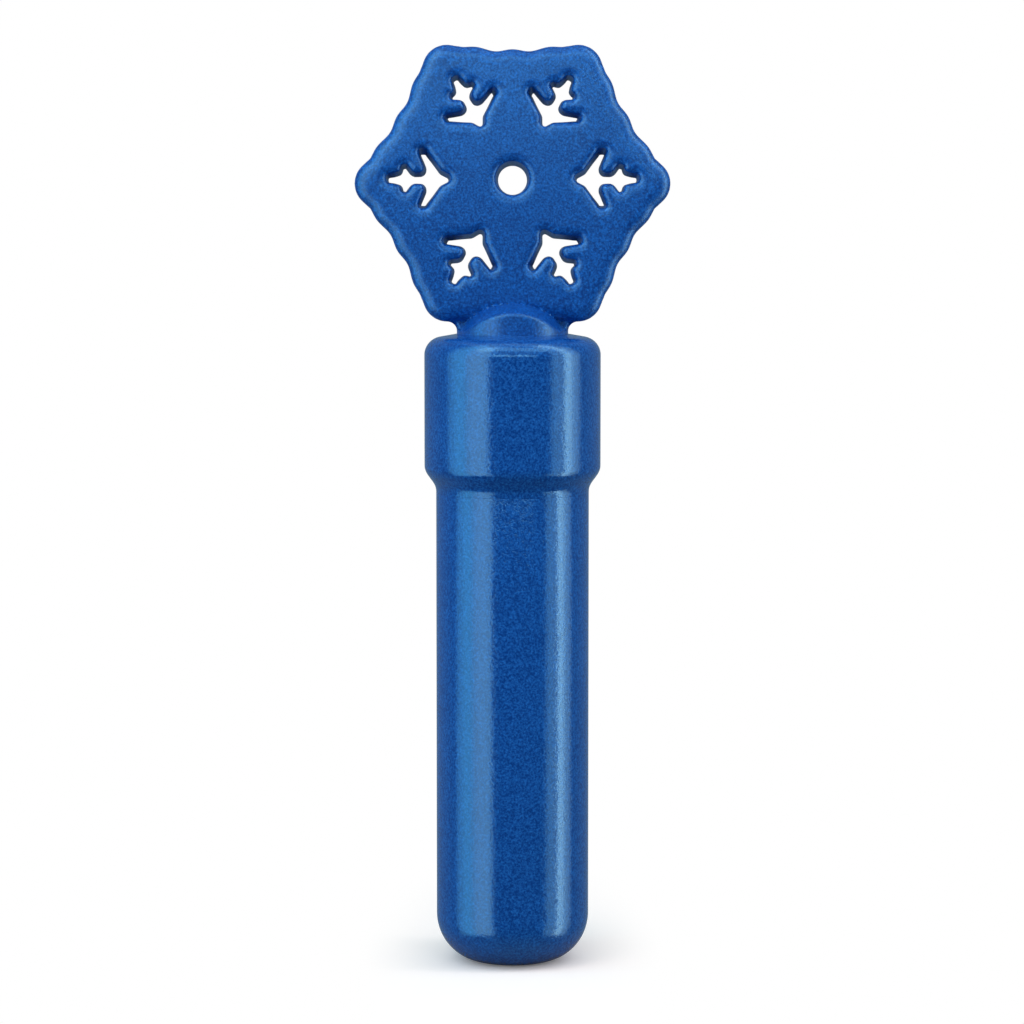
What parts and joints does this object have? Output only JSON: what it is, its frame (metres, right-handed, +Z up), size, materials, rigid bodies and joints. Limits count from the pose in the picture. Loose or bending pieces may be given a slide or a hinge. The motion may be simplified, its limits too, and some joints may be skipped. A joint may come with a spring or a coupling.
{
  "type": "bubble wand",
  "caption": "Slim round tube for soap solution, closed by a screw collar and a snowflake-headed stopper that carries a dipping ring on a stem.",
  "frame": {"origin": "middle of the flat base that the tube stands on", "axes": "+Z up along the tube, -Y out of the front of the snowflake, +X to its right seen from the front"},
  "size_m": [0.0512, 0.0288, 0.1505],
  "materials": {
    "tube_plastic": "satin blue moulded plastic with a very fine grain",
    "collar_plastic": "satin blue moulded plastic with a fine leathery grain",
    "head_plastic": "satin blue moulded plastic with a fine leathery grain",
    "wand_plastic": "smooth blue moulded plastic",
    "seal_rubber": "pale soft rubber"
  },
  "bodies": {
    "bottle": {"tube": "tube_plastic"},
    "liner": {"collar_gasket": "seal_rubber"},
    "collar": {"screw_collar": "collar_plastic"},
    "seals": {"seal_ring_upper": "seal_rubber", "seal_ring_lower": "seal_rubber"},
    "wand": {"snowflake_head": "head_plastic", "stopper_plug": "wand_plastic", "wand_stem": "wand_plastic", "bubble_ring": "wand_plastic"}
  },
  "joints": [
    {"name": "cap_rise", "type": "slide", "parent": "bottle", "child": "liner", "axis": [0, 0, 1], "range_m": [0, 0.0045]},
    {"name": "cap_twist", "type": "hinge", "parent": "liner", "child": "collar", "pos_m": [0, 0, 0.09], "axis": [0, 0, 1], "range_deg": [0, 540]},
    {"name": "wand_lift", "type": "slide", "parent": "collar", "child": "seals", "axis": [0, 0, 1], "range_m": [0, 0.11]},
    {"name": "wand_turn", "type": "hinge", "parent": "seals", "child": "wand", "pos_m": [0, 0, 0.0965], "axis": [0, 0, 1], "continuous": true}
  ],
  "couplings": [
    {"joint": "cap_twist", "follows": "cap_rise", "rad_per_m": 2094.4}
  ]
}
